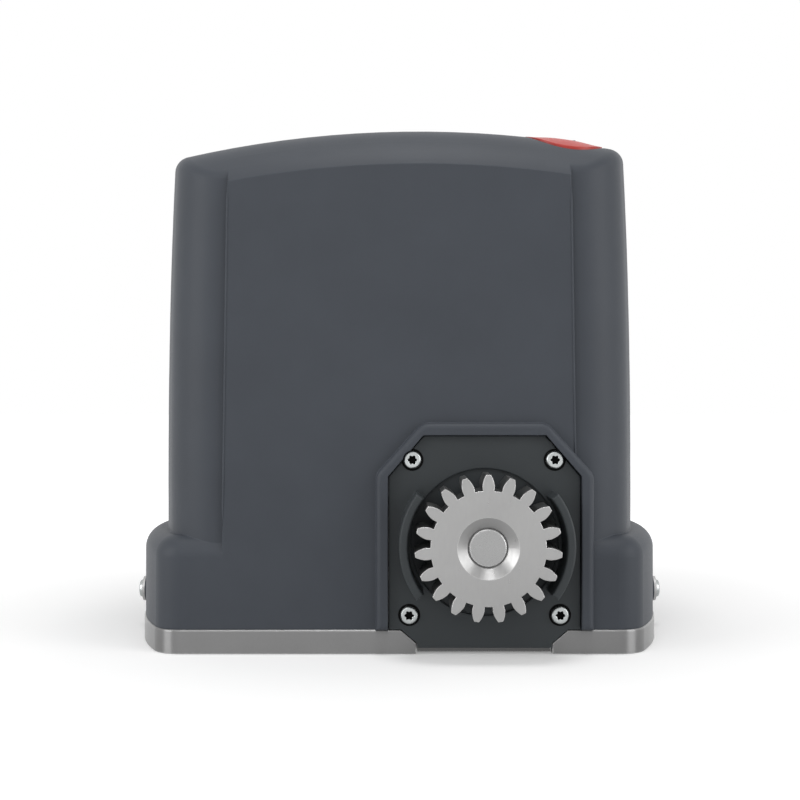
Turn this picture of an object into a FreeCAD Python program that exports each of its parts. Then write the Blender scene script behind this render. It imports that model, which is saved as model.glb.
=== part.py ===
import FreeCAD, Part
import math
import os
import re
import Sketcher
from FreeCAD import Vector, Rotation, Placement

# Sliding gate motor. Millimetres, +Z up, origin at the middle of the base's underside.
# The drive gear faces -Y. Driving sizes are cells of the sheet "Sizes"; sizes worked out
# from them are formula cells of the sheet "Worked".

SIZES = {
    # base casting
    "base_half_wide": 166.7, "base_half_deep": 96, "base_step": 0.8, "base_side_radius": 200, "base_corner_radius": 18,
    "base_tall": 14.5, "base_floor": 6, "base_rim": 9, "base_edge_break": 1,
    "slot_half_wide": 5.5, "slot_long": 30, "slot_spacing_wide": 236, "slot_spacing_deep": 128,
    "slot_pad_wide": 12, "leveller_radius": 5, "leveller_inset": 34, "leveller_boss": 4.5, "grommet_bore": 9,
    "cable_hole_radius": 15, "cable_hole_across": -78, "cable_hole_along": -46,
    "notch_top_half": 50.3, "notch_bottom_half": 40.6, "notch_slope_bottom": 6.3, "notch_deep": 7,
    # cover
    "wall": 3, "skirt_top": 70, "skirt_round": 12.5, "seal_wide": 3.6, "seal_tall": 3, "seal_gap": 0.2,
    "body_half_wide": 151.5, "body_mid_half_wide": 151.5, "body_mid_up": 150, "body_high_half_wide": 149.7,
    "body_high_up": 240, "body_top_half_wide": 145.4, "body_half_deep": 93, "body_side_radius": 230,
    "body_corner_radius": 34, "panel_half_wide": 106.5, "panel_top_half_wide": 102,
    "crown_radius": 655, "crown_across": 12, "crown_top": 322.2, "crown_brow": 29.3, "crown_brow_long": 34,
    "crown_brow_radius": 49, "crown_rise": 3, "crown_roll": 305, "shoulder_round": 9,
    # frame of the cover round the gear bay
    "frame_half_wide": 64.8, "frame_thick": 7.3, "frame_top": 138, "frame_slope_out": 27.6,
    "frame_slope_down": 30.5, "frame_inner_slope_out": 21, "frame_inner_slope_down": 24.4,
    "frame_proud": 7, "frame_round": 3.4, "frame_corner": 9, "frame_foot": 14.8, "bay_top": 130.7,
    # gearbox front plate
    "gear_across": 50.7, "gear_up": 67, "plate_front": -98, "plate_thick": 8.6, "plate_gap": 0.5,
    "plate_bottom": 4, "guard_radius": 46, "guard_thick": 5, "guard_front": -125, "guard_angle": 74,
    "plate_well_radius": 44, "plate_well_deep": 2.5,
    "screw_upper_left": -43, "screw_upper_right": 41.8, "screw_upper": 49,
    "screw_lower": 44.9, "screw_drop": -43.4, "screw_head_radius": 5.3, "screw_head_tall": 3.2,
    "screw_radius": 3, "screw_long": 20, "screw_sink": 0.8, "screw_ring_gap": 0.4, "torx_radius": 2.2,
    # pinion and output shaft
    "pinion_teeth": 19, "pinion_module": 4, "pinion_front": -133, "pinion_wide": 30,
    "dish_radius": 17.7, "dish_deep": 5, "shaft_end_radius": 11.4, "shaft_end_back": 4.2,
    "shaft_radius": 12.5, "shaft_end_chamfer": 1, "running_gap": 0.05, "key_wide": 6, "key_deep": 3, "key_blind": 8,
    # bearings and seal
    "bearing_radius": 26, "bearing_wide": 15, "bearing_land": 16, "seal_radius": 19,
    # worm wheel and worm
    "wheel_teeth": 32, "wheel_module": 2.5, "wheel_front": -56, "wheel_wide": 20, "wheel_hub_radius": 21,
    "worm_pitch_radius": 9, "worm_thread": 2.2, "worm_turns": 6, "worm_core_radius": 5.9,
    "worm_shaft_radius": 6, "worm_bearing_radius": 16, "worm_bearing_wide": 10,
    "worm_low_bearing_radius": 13, "worm_low_bearing_wide": 8, "worm_low": 18,
    # gearbox housing
    "housing_left": -20, "housing_right": 117, "housing_top": 128, "housing_back": 10,
    "housing_wall": 6, "housing_roof": 10, "housing_rear": 20, "housing_round": 5.5, "housing_floor": 7.5,
    # clutch and release
    "collar_radius": 18, "collar_wide": 18, "collar_groove_wide": 5.2,
    "dog_tall": 4, "dog_wide": 7, "fork_thick": 4, "throw": 4, 
    "release_across": 103.5, "release_along": -54, "release_rod_radius": 4, "throw_pin_radius": 3,
    "fork_arm_low": 100, "fork_arm_tall": 6, "lock_radius": 9, "lock_low": 284, "lock_top": 304.2,
    "barrel_radius": 12, "cam_radius": 7.5, "cam_low": 106.5, "cam_tall": 5, "guide_radius": 2.5,
    # red release cap on the crown
    "cap_radius": 24, "cap_thick": 3, "cap_proud": 1.3, "cap_gap": 0.35, "cap_side_gap": 2.2,
    "cap_boss": 8, "cap_boss_deep": 4, "cap_pin_radius": 1.2, "cap_pin_long": 22, "cap_pin_out": 2.6,
    "cap_pin_up": 318.4, "cap_ear_radius": 2.4, "cap_tongue_tall": 1.8, "knuckle_wide": 10,
    "knuckle_radius": 2.2,
    # motor
    "motor_radius": 40, "motor_tall": 112, "motor_can": 4, "motor_flange": 8,
    "armature_radius": 27.5, "air_gap": 0.8, "winding_tall": 7, "winding_low": 6, "winding_step": 4,
    "slot_radius": 1.8, "slot_sink": 0.8, "magnet_low": 8, "magnet_over": 10, "magnet_gap": 44,
    "commutator_radius": 12, "commutator_tall": 10, "commutator_gap": 3, "lid_gap": 1,
    "brush_side": 6, "brush_long": 14, "brush_gap": 0.2, "holder_in": 14, "holder_long": 14, "holder_side": 12,
    "bolt_radius": 2.5, "bolt_inset": 3,
    # controls
    "board_inset": 63.5, "board_wide": 82, "board_tall": 118, "board_thick": 1.6, "board_low": 98,
    "bracket_along": 2, "bracket_thick": 2, "post_radius": 3.5, "post_long": 10, "post_inset": 7,
    "transformer_wide": 78, "transformer_tall": 64, "transformer_deep": 28, "coil_deep": 48,
    "transformer_along": 31, "core_leg": 26, "core_bar": 13,
    # cover side screws
    "side_screw_up": 25, "side_screw_radius": 2.5, "side_head_radius": 6, "side_head_tall": 2.6,
    "washer_radius": 8.2, "washer_thick": 1.8, "side_screw_long": 23, "side_boss_tall": 3.2, "lug_thick": 12, "lug_half": 8,
    "fit_gap": 0.3,
}

WORKED = {
    "base_flat_half": "base_half_wide - base_side_radius + sqrt((base_side_radius - base_corner_radius)^2"
                      " - (base_half_deep - base_corner_radius)^2)",
    "body_flat_half": "body_half_wide - body_side_radius + sqrt((body_side_radius - body_corner_radius)^2"
                      " - (body_half_deep - body_corner_radius)^2)",
    "wheel_radius": "wheel_teeth * wheel_module / 2",
    "worm_across": "gear_across - wheel_teeth * wheel_module / 2 - worm_pitch_radius",
    "wheel_mid": "wheel_front + wheel_wide / 2",
    "plate_back": "plate_front + plate_thick",
    "housing_front": "plate_front + plate_thick",
    "collar_front": "wheel_front + wheel_wide + 0.4",
    "fork_mid": "wheel_front + wheel_wide + 0.4 + collar_wide / 2",
    "board_across": "board_inset - body_half_wide",
    "transformer_across": "board_inset - body_half_wide",
    "armature_tall": "motor_tall - 2 * motor_flange - 2 * winding_tall - winding_low - commutator_gap"
                     " - commutator_tall - lid_gap",
}

doc = FreeCAD.newDocument("SlidingGateMotor")
NAMES = {}
PARTS = []


def fill_sheet(label, cells, formula):
    """One sheet: a name and its value or formula on each row, the value under the name as alias."""
    sheet = doc.addObject("Spreadsheet::Sheet", label)
    for row, (name, value) in enumerate(cells.items(), start=1):
        sheet.set(f"A{row}", name)
        sheet.set(f"B{row}", f"={bound(value)}" if formula else str(value))
        sheet.setAlias(f"B{row}", name)
    for name in cells:
        NAMES[name] = label
    doc.recompute()
    return sheet


def bound(text):
    """An expression in plain size names, with each name pointing at its sheet."""
    def point(match):
        name = match.group(0)
        return f"{NAMES[name]}.{name}" if name in NAMES else name
    return re.sub(r"[a-z]+(?:_[a-z]+)+|\b(?:wall|throw)\b", point, str(text))


sizes = fill_sheet("Sizes", SIZES, formula=False)
worked = fill_sheet("Worked", WORKED, formula=True)


def value(text):
    """What an expression in plain size names comes to, in millimetres or degrees."""
    found = sizes.evalExpression(bound(text))
    return float(getattr(found, "Value", found))


def bind(thing, **properties):
    """Ties properties to expressions; an underscore pair stands for the dot in a property path."""
    for name, text in properties.items():
        thing.setExpression(name.replace("__", "."), bound(text))


def place(thing, across=0, along=0, up=0, turn=None):
    """Puts a thing at a place worked out from the sizes, turned first if asked."""
    if turn is not None:
        thing.Placement = Placement(Vector(), turn)
    bind(thing, Placement__Base__x=across, Placement__Base__y=along, Placement__Base__z=up)
    return thing


def part(thing, label):
    """Marks a thing as a piece of the product and gives it its name."""
    thing.Label = label
    PARTS.append(thing)
    return thing


TO_FRONT = Rotation(Vector(1, 0, 0), 90)
TO_RIGHT = Rotation(Vector(0, 1, 0), 90)
PLANE_TURN = {"XY": "XY_Plane", "XZ": "XZ_Plane", "YZ": "YZ_Plane"}


def new_body(label):
    body = doc.addObject("PartDesign::Body", label.replace(" ", "_"))
    body.Label = label
    return body


def origin_plane(body, plane):
    return next(f for f in body.Origin.OriginFeatures if f.Role == PLANE_TURN[plane])


def outline(body, plane, points, across=0, along=0, up=0):
    """A closed sketch. Each point is (x, y) or (x, y, radius): the radius makes the edge that
    leaves the point an arc. All are expressions in size names. The shift moves its origin."""
    sketch = body.newObject("Sketcher::SketchObject", body.Name + "_outline")
    sketch.AttachmentSupport = [(origin_plane(body, plane), "")]
    sketch.MapMode = "FlatFace"
    shift = {"XY": (across, along, up), "XZ": (across, up, f"-({along})"), "YZ": (along, up, across)}[plane]
    for axis, text in zip("xyz", shift):
        bind(sketch, **{f"AttachmentOffset__Base__{axis}": text})
    spots = [Vector(value(p[0]), value(p[1]), 0) for p in points]
    for i, point in enumerate(points):
        start, end = spots[i], spots[(i + 1) % len(spots)]
        if len(point) > 2:
            sketch.addGeometry(arc_edge(start, end, value(point[2])))
        else:
            sketch.addGeometry(Part.LineSegment(start, end))
    count = len(points)
    heads = [arc_ends(point) for point in points]
    for i in range(count):
        after = (i + 1) % count
        sketch.addConstraint(Sketcher.Constraint("Coincident", i, heads[i][1], after, heads[after][0]))
    for i, point in enumerate(points):
        for kind, text, spot in (("DistanceX", point[0], spots[i].x), ("DistanceY", point[1], spots[i].y)):
            number = sketch.addConstraint(Sketcher.Constraint(kind, -1, 1, i, heads[i][0], spot))
            bind(sketch, **{f"Constraints[{number}]": text})
        if len(point) > 2:
            number = sketch.addConstraint(Sketcher.Constraint("Radius", i, abs(value(point[2]))))
            bind(sketch, **{f"Constraints[{number}]": f"abs({point[2]})"})
    return sketch


def arc_edge(start, end, radius):
    """The short arc from start to end: a positive radius bulges to the right of the way it runs."""
    chord = end - start
    left = Vector(-chord.y, chord.x, 0).normalize()
    rise = math.sqrt(max(radius ** 2 - (chord.Length / 2) ** 2, 0))
    centre = (start + end) * 0.5 + left * math.copysign(rise, radius)
    circle = Part.Circle(centre, Vector(0, 0, 1), abs(radius))
    first = math.atan2(start.y - centre.y, start.x - centre.x)
    last = math.atan2(end.y - centre.y, end.x - centre.x)
    if radius < 0:
        first, last = last, first
    if last <= first:
        last += 2 * math.pi
    return Part.ArcOfCircle(circle, first, last)


def arc_ends(point):
    """Which end of an edge starts it and which ends it, as Sketcher numbers them."""
    if len(point) > 2 and value(point[2]) < 0:
        return 2, 1
    return 1, 2


def padded(label, plane, points, start, end, draft=None, **shift):
    """A prism of an outline between two places along the plane's normal (X, Y or Z)."""
    body = new_body(label)
    normal = {"XY": "up", "XZ": "along", "YZ": "across"}[plane]
    shift[normal] = end if plane == "XZ" else start
    sketch = outline(body, plane, points, **shift)
    pad = body.newObject("PartDesign::Pad", body.Name + "_pad")
    pad.Profile = sketch
    bind(pad, Length=f"({end}) - ({start})")
    if draft:
        bind(pad, TaperAngle=draft)
    doc.recompute()
    return body


def turned(label, plane, points, axis, angle=360, **shift):
    """A solid of revolution about the outline's own H or V axis."""
    body = new_body(label)
    sketch = outline(body, plane, points, **shift)
    spin = body.newObject("PartDesign::Revolution", body.Name + "_turn")
    spin.Profile = sketch
    spin.ReferenceAxis = (sketch, [axis + "_Axis"])
    spin.Angle = angle
    spin.Midplane = angle < 360
    doc.recompute()
    return body


def cylinder(radius, tall, across=0, along=0, up=0, turn=None, name="cylinder"):
    thing = doc.addObject("Part::Cylinder", name)
    bind(thing, Radius=radius, Height=tall)
    return place(thing, across, along, up, turn)


def block(wide, deep, tall, across, along, up, name="block"):
    """A box given by its size and its lowest corner."""
    thing = doc.addObject("Part::Box", name)
    bind(thing, Length=wide, Width=deep, Height=tall)
    return place(thing, across, along, up)


def joined(things, name="joined"):
    if len(things) == 1:
        return things[0]
    thing = doc.addObject("Part::MultiFuse", name)
    thing.Shapes = things
    return thing


def shared(things, name="shared"):
    thing = doc.addObject("Part::MultiCommon", name)
    thing.Shapes = things
    return thing


def cut(base, tools, name="cut"):
    thing = doc.addObject("Part::Cut", name)
    thing.Base = base
    thing.Tool = joined(tools, name + "_tools")
    return thing


def group(things, name="group"):
    """Separate solids kept together as one node."""
    thing = doc.addObject("Part::Compound", name)
    thing.Links = things
    return thing


def barrel(half_wide, half_deep, flat_half, side_radius, corner_radius, inset="0"):
    """The plan shared by base and cover: flat front and back, round corners, bowed sides."""
    wide, deep = f"({half_wide} - {inset})", f"({half_deep} - {inset})"
    corner, side = f"({corner_radius} - {inset})", f"({side_radius} - {inset})"
    lean = f"(({half_deep} - {corner_radius}) / ({side_radius} - {corner_radius}))"
    cos = f"sqrt(1 - {lean}^2)"
    knee_across = f"({half_wide} - {side_radius} + {side} * {cos})"
    knee_along = f"({side} * {lean})"
    return [
        (f"-{flat_half}", f"-{deep}"), (flat_half, f"-{deep}", corner),
        (knee_across, f"-{knee_along}", side), (knee_across, knee_along, corner),
        (flat_half, deep), (f"-{flat_half}", deep, corner),
        (f"-{knee_across}", knee_along, side), (f"-{knee_across}", f"-{knee_along}", corner),
    ]


def base_plan(inset="0"):
    return barrel("base_half_wide", "base_half_deep", "base_flat_half", "base_side_radius",
                  "base_corner_radius", inset)


def body_plan(half_wide, inset):
    return barrel(half_wide, "body_half_deep", f"(body_flat_half - body_half_wide + {half_wide})",
                  "body_side_radius", "body_corner_radius", inset)


def corners(across, along):
    """The four places at plus and minus two distances."""
    return [(f"{a}({across})", f"{b}({along})") for a in ("", "-") for b in ("", "-")]


def slot(label, across, along, start, end):
    """A slotted hole running along X."""
    half = "(slot_long / 2 - slot_half_wide)"
    points = [(f"-{half}", "-slot_half_wide"), (half, "-slot_half_wide", "slot_half_wide * 1.0001"),
              (half, "slot_half_wide"), (f"-{half}", "slot_half_wide", "slot_half_wide * 1.0001")]
    return padded(label, "XY", points, start, end, across=across, along=along)


def make_base():
    """Cast plate: outer rim, thin floor, thick pads round the slots, levelling screws and cable hole."""
    plate = rounded(padded("base block", "XY", base_plan("(0 - base_step)"), "0", "base_tall"),
                    "base_edge_break", at_height("base_tall"))
    hollow = padded("base hollow", "XY", base_plan("base_rim"), "base_floor", "base_tall + 1")
    rim = cut(plate, [hollow], "base_rim_cut")
    adds, holes = [rim], []
    pad_half = "(slot_long / 2 + slot_pad_wide / 2)"
    pad_deep = "(slot_half_wide + slot_pad_wide)"
    for i, (across, along) in enumerate(corners("slot_spacing_wide / 2", "slot_spacing_deep / 2")):
        adds.append(block(f"2 * {pad_half}", f"2 * {pad_deep}", "base_tall - base_floor",
                          f"{across} - {pad_half}", f"{along} - {pad_deep}", "base_floor", "slot_pad"))
        holes.append(slot(f"base slot {i}", across, along, "-1", "base_tall + 1"))
    for across, along in leveller_places():
        adds.append(cylinder("leveller_radius + leveller_boss", "base_tall - base_floor",
                             across, along, "base_floor", name="leveller_boss"))
        holes.append(cylinder("leveller_radius", "base_tall + 2", across, along, "-1", name="leveller_hole"))
    adds.append(block("housing_right - housing_left", "housing_back - housing_front", "base_tall - base_floor",
                      "housing_left", "housing_front", "base_floor", "gearbox_seat"))
    adds.append(cylinder("cable_hole_radius + base_rim", "base_tall - base_floor", "cable_hole_across",
                         "cable_hole_along", "base_floor", name="cable_boss"))
    holes.append(cylinder("cable_hole_radius", "base_tall + 2", "cable_hole_across", "cable_hole_along",
                          "-1", name="cable_hole"))
    notch = [("-notch_bottom_half", "-1"), ("notch_bottom_half", "-1"),
             ("notch_bottom_half", "notch_slope_bottom"), ("notch_top_half", "base_tall"),
             ("notch_top_half", "base_tall + 1"), ("-notch_top_half", "base_tall + 1"),
             ("-notch_top_half", "base_tall"), ("-notch_bottom_half", "notch_slope_bottom")]
    holes.append(padded("base notch", "XZ", notch, "-base_half_deep - 5", "-base_half_deep + notch_deep",
                        across="gear_across"))
    lug_out = "(base_half_wide - wall - seal_gap - seal_wide - fit_gap)"
    for start in (f"{lug_out} - lug_thick", f"-{lug_out}"):
        adds.append(block("lug_thick", "2 * lug_half", "side_screw_up + lug_half - base_floor", start,
                          "-lug_half", "base_floor", "cover_lug"))
    holes.append(cylinder("side_screw_radius", "2 * base_half_wide", "-base_half_wide", "0", "side_screw_up",
                          TO_RIGHT, "cover_screw_thread"))
    part(cut(joined(adds, "base_adds"), holes, "base"), "base_casting")


def leveller_places():
    """Beside the rim: the front right place is taken by the gearbox."""
    deep = "(base_half_deep - leveller_inset + 10)"
    return [("-leveller_inset / 2 - 40", f"-{deep}"), ("-leveller_inset / 2 - 40", deep),
            ("leveller_inset / 2 + 40", deep), ("base_half_wide - leveller_inset / 2 - 4", "leveller_inset - 6")]


def make_levellers():
    screws = [cylinder("leveller_radius", "base_tall + 6", across, along, "0", name="leveller")
              for across, along in leveller_places()]
    sockets = [hex_hole("3", "6", across, along, "base_tall + 2") for across, along in leveller_places()]
    part(cut(group(screws, "leveller_set"), sockets, "levellers"), "levelling_screws")


def hex_hole(radius, deep, across, along, up):
    thing = doc.addObject("Part::Prism", "hexagon")
    thing.Polygon = 6
    bind(thing, Circumradius=radius, Height=deep)
    return place(thing, across, along, up)


def lofted(label, plans):
    """A solid through plans at rising heights."""
    body = new_body(label)
    first, *others = [outline(body, "XY", points, up=level) for points, level in plans]
    loft = body.newObject("PartDesign::AdditiveLoft", body.Name + "_loft")
    loft.Profile = first
    loft.Sections = others
    loft.Ruled = False
    doc.recompute()
    return body


def rounded(body, radius, chosen):
    """A fillet on the chosen edges of a body's last feature."""
    base = body.Tip
    names = [f"Edge{i}" for i, edge in enumerate(base.Shape.Edges, start=1) if chosen(edge)]
    fillet = body.newObject("PartDesign::Fillet", body.Name + "_fillet")
    fillet.Base = (base, names)
    bind(fillet, Radius=radius)
    doc.recompute()
    return body


def at_height(level):
    """Picks the edges that lie in one level plane."""
    height = value(level)
    return lambda edge: all(abs(v.Z - height) < 1e-4 for v in edge.Vertexes)


def at_depth(level):
    depth = value(level)
    return lambda edge: all(abs(v.Y - depth) < 1e-4 for v in edge.Vertexes)


def crown(label, inset="0"):
    """Turned about an axis far below: the cover's top, bowed across and rounded at both brows."""
    top, deep = f"(crown_radius - {inset})", f"(base_half_deep - {inset})"
    brow, rise = f"({top} - crown_brow)", f"({top} - crown_rise)"
    low = "(crown_radius - crown_top)"
    inner = f"({deep} - crown_brow_long)"
    points = [(f"-{deep}", low), (deep, low), (deep, brow, "crown_brow_radius"),
              (inner, rise, "crown_roll"), (f"-{inner}", rise, "crown_brow_radius"), (f"-{deep}", brow)]
    return turned(label, "YZ", points, "H", 60, across="crown_across", up="crown_top - crown_radius")


def crown_edges(shape):
    """The numbers of the edges where the crown meets the cover's walls, all the way round."""
    level, deep = value("crown_top - crown_brow - 15"), value("body_half_deep - wall") - 1
    chosen = []
    for number, edge in enumerate(shape.Edges, start=1):
        spots = [v.Point for v in edge.Vertexes]
        spans = spots[0].x * spots[-1].x < 0
        if min(p.z for p in spots) > level and (not spans or abs(spots[0].y) > deep):
            chosen.append(number)
    return chosen


def cover_form(name, inset):
    """The cover's outer form, or, set in by the wall, the room inside it."""
    levels = [("body_half_wide", "base_tall - 1"), ("body_mid_half_wide", "body_mid_up"),
              ("body_high_half_wide", "body_high_up"), ("body_top_half_wide", "crown_top + 10")]
    column = lofted(name + " column", [(body_plan(half, inset), level) for half, level in levels])
    block_form = shared([column, crown(name + " crown", inset)])
    doc.recompute()
    radius = value(f"shoulder_round - {inset}")
    upper = doc.addObject("Part::Fillet", name.title() + "Upper")
    upper.Base = block_form
    upper.Edges = [(number, radius, radius) for number in crown_edges(block_form.Shape)]
    skirt = padded(name + " skirt", "XY", base_plan(inset), "base_tall - 1", f"skirt_top - {inset}")
    rounded(skirt, f"skirt_round - {inset}", at_height(f"skirt_top - {inset}"))
    return upper, skirt


def frame_outline(half, top, slope_out, slope_down, foot):
    """Eight-sided frame without its bottom side."""
    return [(f"-{half}", foot), (half, foot), (half, f"{top} - {slope_down}"),
            (f"{half} - {slope_out}", top), (f"-{half} + {slope_out}", top),
            (f"-{half}", f"{top} - {slope_down}")]


def outer_frame():
    return frame_outline("frame_half_wide", "frame_top", "frame_slope_out", "frame_slope_down", "frame_foot")


def bay_outline(gap="0", foot="0"):
    half = f"(frame_half_wide - frame_thick - {gap})"
    return frame_outline(half, f"(bay_top - {gap})", "frame_inner_slope_out", "frame_inner_slope_down", foot)


def frame_bends(edge):
    """Picks the edges along the depth at the bends of the frame, above its feet."""
    first, last = [v.Point for v in edge.Vertexes]
    return abs(first.y - last.y) > 1 and first.z > value("frame_foot") + 1


def cap_drum(radius):
    """The upright drum in which the release cap, its seat and its boss lie."""
    return cylinder(radius, "60", "release_across", "release_along", "crown_top - 40", name="cap_drum")


def crown_layer(name, drum_radius, top, bottom):
    """A disc of even thickness that follows the crown: both faces are set in from it."""
    upper = shared([cap_drum(drum_radius), crown(name + " top", top)], "layer_top")
    return cut(upper, [crown(name + " bottom", bottom)], "layer")


def make_cover():
    outer_upper, outer_skirt = cover_form("outer", "0")
    inner_upper, inner_skirt = cover_form("inner", "wall")
    panel_points = [("-panel_half_wide", "base_tall"), ("panel_half_wide", "base_tall"),
                    ("panel_top_half_wide", "crown_top + 10"), ("-panel_top_half_wide", "crown_top + 10")]
    panel = padded("front panel", "XZ", panel_points, "-base_half_deep", "-base_half_deep + 12")
    panel_top = shared([panel, crown("panel crown")], "panel_top")
    frame = padded("bay frame", "XZ", outer_frame(), "-base_half_deep - frame_proud", "-base_half_deep + 2",
                   across="gear_across")
    rounded(frame, "frame_corner", frame_bends)
    rounded(frame, "frame_round", at_depth("-base_half_deep - frame_proud"))
    below = block("400", "300", "base_tall", "-200", "-base_half_deep", "0", "below_cover")
    bay = padded("bay opening", "XZ", bay_outline(foot="-5"), "-base_half_deep - 20",
                 "-base_half_deep + 14", across="gear_across")
    holes = [cylinder("side_screw_radius + fit_gap", "2 * base_half_wide + 20", "-base_half_wide - 10", "0",
                      "side_screw_up", TO_RIGHT, "cover_screw_hole")]
    holes += [cylinder("screw_head_radius + screw_ring_gap", "frame_proud + 10", across, "-base_half_deep + 8", up,
                       TO_FRONT, "screw_scallop") for across, up in plate_screw_places()[:2]]
    side_bosses = cylinder("washer_radius + 0.6", "2 * (base_half_wide + side_boss_tall)",
                           "-base_half_wide - side_boss_tall", "0", "side_screw_up", TO_RIGHT, "side_bosses")
    form = joined([outer_upper, outer_skirt, panel_top, frame, side_bosses] + cap_ears(), "cover_form")
    boss = cut(cap_drum("cap_radius + cap_boss"), [crown("boss underside", "wall + cap_boss_deep")], "cap_boss")
    room = cut(joined([inner_upper, inner_skirt], "inner_form"), [boss], "cover_room")
    seat = cut(cap_drum("cap_radius + cap_side_gap"), [crown("cap seat", "cap_thick - cap_proud + cap_gap")],
               "cap_seat")
    holes += [cylinder("barrel_radius", "60", "release_across", "release_along", "crown_top - 50", name="lock_hole"),
              knuckle_room(), cap_pin("cap_pin_hole")]
    part(cut(form, [room, below, bay, seat] + holes, "cover"), "cover")


HINGE_ALONG = "(release_along + cap_radius + cap_pin_out)"


def cap_pin(name):
    return cylinder("cap_pin_radius", "cap_pin_long", "release_across - cap_pin_long / 2", HINGE_ALONG,
                    "cap_pin_up", TO_RIGHT, name)


def cap_ears():
    """Two ears on the crown that hold the hinge pin, one on each side of the knuckle."""
    long, ears = "((cap_pin_long - knuckle_wide) / 2 - fit_gap)", []
    for start in ("release_across - cap_pin_long / 2", f"release_across + cap_pin_long / 2 - {long}"):
        ears.append(cylinder("cap_ear_radius", long, start, HINGE_ALONG, "cap_pin_up", TO_RIGHT, "cap_ear"))
        ears.append(block(long, "2 * cap_ear_radius", "2 * cap_ear_radius", start,
                          f"{HINGE_ALONG} - cap_ear_radius", "cap_pin_up - 2 * cap_ear_radius", "cap_ear_foot"))
    return ears


def knuckle_room():
    """Where the cap's hinge knuckle turns, open at the top."""
    return block("knuckle_wide + 2 * fit_gap", "2 * cap_pin_out + 2 * knuckle_radius + 1", "40",
                 "release_across - knuckle_wide / 2 - fit_gap",
                 "release_along + cap_radius - cap_pin_out - knuckle_radius", "cap_pin_up - knuckle_radius - fit_gap",
                 "knuckle_room")


def make_seal():
    outer = padded("seal outside", "XY", base_plan("(wall + seal_gap)"), "base_tall", "base_tall + seal_tall")
    inner = padded("seal inside", "XY", base_plan("(wall + seal_gap + seal_wide)"), "base_tall - 1",
                   "base_tall + seal_tall + 1")
    gap = block("housing_right - housing_left + 2", "20", "20", "housing_left - 1", "-base_half_deep",
                "base_tall - 5", "seal_gap_at_gearbox")
    part(cut(outer, [inner, gap], "seal"), "cover_seal")


def plate_screw_places():
    left, right = "gear_across + screw_upper_left", "gear_across + screw_upper_right"
    low = "gear_up + screw_drop"
    high = "gear_up + screw_upper"
    return [(left, high), (right, high), ("gear_across - screw_lower", low),
            ("gear_across + screw_lower", low)]


def guard_outline(side):
    """A curved wall beside the gear, seen from the front."""
    outer = "(guard_radius + guard_thick)"
    cos, sin = "cos(guard_angle / 2 * 1 deg)", "sin(guard_angle / 2 * 1 deg)"
    bulge = side + "1"
    return [(f"{side}{outer} * {cos}", f"-{outer} * {sin}", f"{bulge} * {outer}"),
            (f"{side}{outer} * {cos}", f"{outer} * {sin}"),
            (f"{side}guard_radius * {cos}", f"guard_radius * {sin}", f"-({bulge}) * guard_radius"),
            (f"{side}guard_radius * {cos}", f"-guard_radius * {sin}")]


def plate_outline():
    """The bay's form above the base; below it the sides step in along the base's notch."""
    half = "(frame_half_wide - frame_thick - plate_gap)"
    low_half = "(notch_bottom_half - plate_gap)"
    top_half = "(notch_top_half - plate_gap)"
    shoulder = "(bay_top - plate_gap)"
    return [(f"-{low_half}", "plate_bottom"), (low_half, "plate_bottom"),
            (low_half, "notch_slope_bottom + plate_gap"), (top_half, "base_tall + plate_gap"),
            (half, "base_tall + plate_gap"), (half, f"{shoulder} - frame_inner_slope_down"),
            (f"{half} - frame_inner_slope_out", shoulder), (f"-{half} + frame_inner_slope_out", shoulder),
            (f"-{half}", f"{shoulder} - frame_inner_slope_down"), (f"-{half}", "base_tall + plate_gap"),
            (f"-{top_half}", "base_tall + plate_gap"), (f"-{low_half}", "notch_slope_bottom + plate_gap")]


def make_front_plate():
    """Cast cover of the gearbox: guard walls round the pinion, bearing boss behind, four screws."""
    slab = padded("plate slab", "XZ", plate_outline(), "plate_front", "plate_back", across="gear_across")
    guards = [padded(f"guard {name}", "XZ", guard_outline(side), "guard_front", "plate_front + 1",
                     across="gear_across", up="gear_up")
              for name, side in (("left", "-"), ("right", ""))]
    for guard in guards:
        rounded(guard, "guard_thick / 4", at_depth("guard_front"))
    boss = cylinder("bearing_radius + 5", "bearing_wide", "gear_across", "plate_back + bearing_wide",
                    "gear_up", TO_FRONT, "bearing_boss")
    holes = [cylinder("plate_well_radius", "20", "gear_across", "plate_front + plate_well_deep", "gear_up",
                      TO_FRONT, "gear_well"),
             cylinder("seal_radius", "40", "gear_across", "plate_back", "gear_up", TO_FRONT, "seal_seat"),
             cylinder("bearing_radius", "bearing_wide + 1", "gear_across", "plate_back + bearing_wide + 1",
                      "gear_up", TO_FRONT, "front_bearing_seat")]
    for across, up in plate_screw_places():
        holes.append(cylinder("screw_radius", "plate_thick + 2", across, "plate_back + 1", up, TO_FRONT,
                              "plate_screw_hole"))
        holes.append(cylinder("screw_head_radius + screw_ring_gap", "10", across,
                              "plate_front + screw_sink", up, TO_FRONT, "plate_screw_sink"))
    part(cut(joined([slab, boss] + guards, "plate_form"), holes, "front_plate"), "gearbox_front_plate")


def button_screw(label, radius, long, head_radius, head_tall, socket, **shift):
    """A domed screw along -Z with a six-point socket; its head's underside is at the origin."""
    points = [("0", f"-{long}"), (radius, f"-{long}"), (radius, "0"), (head_radius, "0"),
              (head_radius, f"{head_tall} * 0.35", f"{head_radius} * 1.25"),
              (f"{socket} * 1.25", head_tall), ("0", head_tall)]
    return turned(label, "XZ", points, "V", **shift)


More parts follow.
